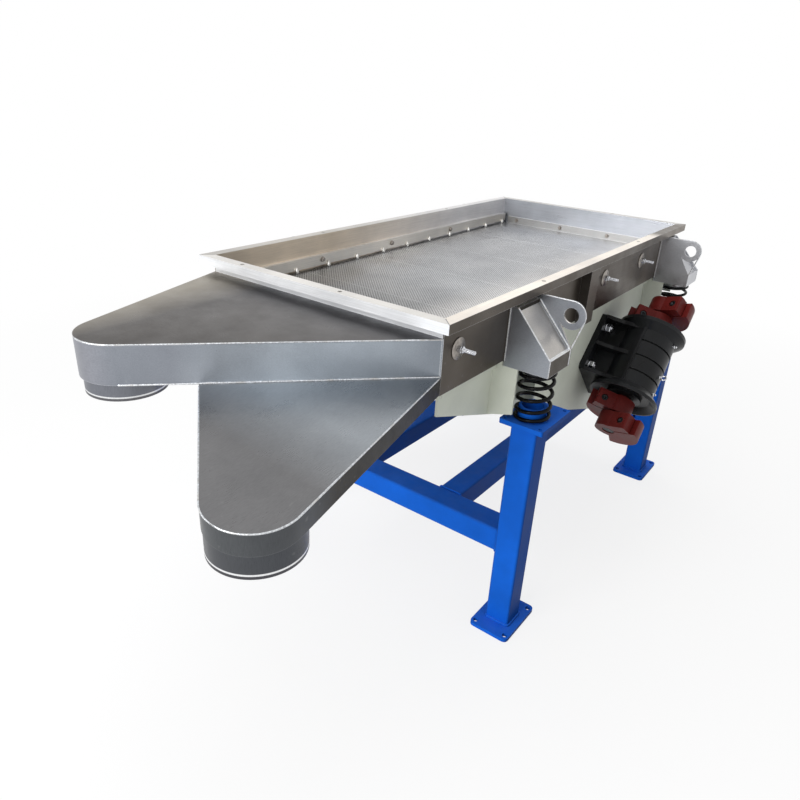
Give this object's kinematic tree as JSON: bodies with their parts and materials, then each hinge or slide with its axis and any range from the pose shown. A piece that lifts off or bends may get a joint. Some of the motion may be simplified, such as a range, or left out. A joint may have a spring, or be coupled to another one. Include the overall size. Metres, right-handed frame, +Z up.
{
  "type": "linear vibrating screen",
  "caption": "Linear vibrating sieving machine: stainless screen box with tapered outlet chutes, carried on coil springs over a blue stand and shaken by slanted unbalance motors.",
  "frame": {"origin": "on the floor, midway between the four feet", "axes": "+X towards the closed feed end, -X towards the outlets, +Z up, -Y towards the side whose motor the picture shows"},
  "size_m": [2.383, 1.28, 1.085],
  "materials": {
    "blue_paint": "semi-gloss blue paint",
    "spring_steel": "black paint, satin",
    "cream_paint": "greenish cream primer paint, satin",
    "motor_casting": "black paint on a rough casting",
    "red_paint": "dark red paint",
    "screen_mesh": "fine woven stainless mesh",
    "stainless": "brushed stainless sheet"
  },
  "bodies": {
    "stand": {"far_long_beam": "blue_paint", "front_crossbeam": "blue_paint", "front_far_leg": "blue_paint", "front_far_spring": "spring_steel", "front_near_leg": "blue_paint", "front_near_spring": "spring_steel", "near_long_beam": "blue_paint", "rear_crossbeam": "blue_paint", "rear_far_leg": "blue_paint", "rear_far_spring": "spring_steel", "rear_near_leg": "blue_paint", "rear_near_spring": "spring_steel"},
    "screen": {"deck_cross_bars": "stainless", "far_deck_ledge": "stainless", "far_joint_post": "stainless", "far_motor_housing": "motor_casting", "far_side_clamp": "stainless", "far_side_plate": "stainless", "far_support_panel": "cream_paint", "feed_strip": "stainless", "feed_tie_tube": "cream_paint", "feed_wall": "stainless", "front_far_bracket": "stainless", "front_far_ribs": "cream_paint", "front_near_bracket": "stainless", "front_near_ribs": "cream_paint", "lower_chute": "stainless", "lower_chute_cover": "stainless", "lower_outlet_stub": "stainless", "near_deck_ledge": "stainless", "near_joint_post": "stainless", "near_motor_housing": "motor_casting", "near_side_clamp": "stainless", "near_side_plate": "stainless", "near_support_panel": "cream_paint", "outlet_tie_tubes": "cream_paint", "outlet_wall": "stainless", "pan_floor": "stainless", "rear_far_bracket": "stainless", "rear_far_ribs": "cream_paint", "rear_near_bracket": "stainless", "rear_near_ribs": "cream_paint", "screen_deck": "screen_mesh", "upper_chute": "stainless", "upper_chute_cover": "stainless", "upper_outlet_stub": "stainless"},
    "near_rotor": {"near_motor_rotor": "red_paint"},
    "far_rotor": {"far_motor_rotor": "red_paint"}
  },
  "joints": [
    {"name": "screen_ride", "type": "slide", "parent": "stand", "child": "screen", "axis": [0, 0, 1], "range_m": [-0.008, 0.008], "stiffness_N_per_m": 130000, "springref_m": 0.0272, "deforming": ["front_far_spring", "front_near_spring", "rear_far_spring", "rear_near_spring"]},
    {"name": "near_rotor_spin", "type": "hinge", "parent": "screen", "child": "near_rotor", "pos_m": [0.131, -0.52, 0.672], "axis": [0.7071, 0, 0.7071], "continuous": true},
    {"name": "far_rotor_spin", "type": "hinge", "parent": "screen", "child": "far_rotor", "pos_m": [0.131, 0.52, 0.672], "axis": [0.7071, 0, 0.7071], "continuous": true}
  ]
}
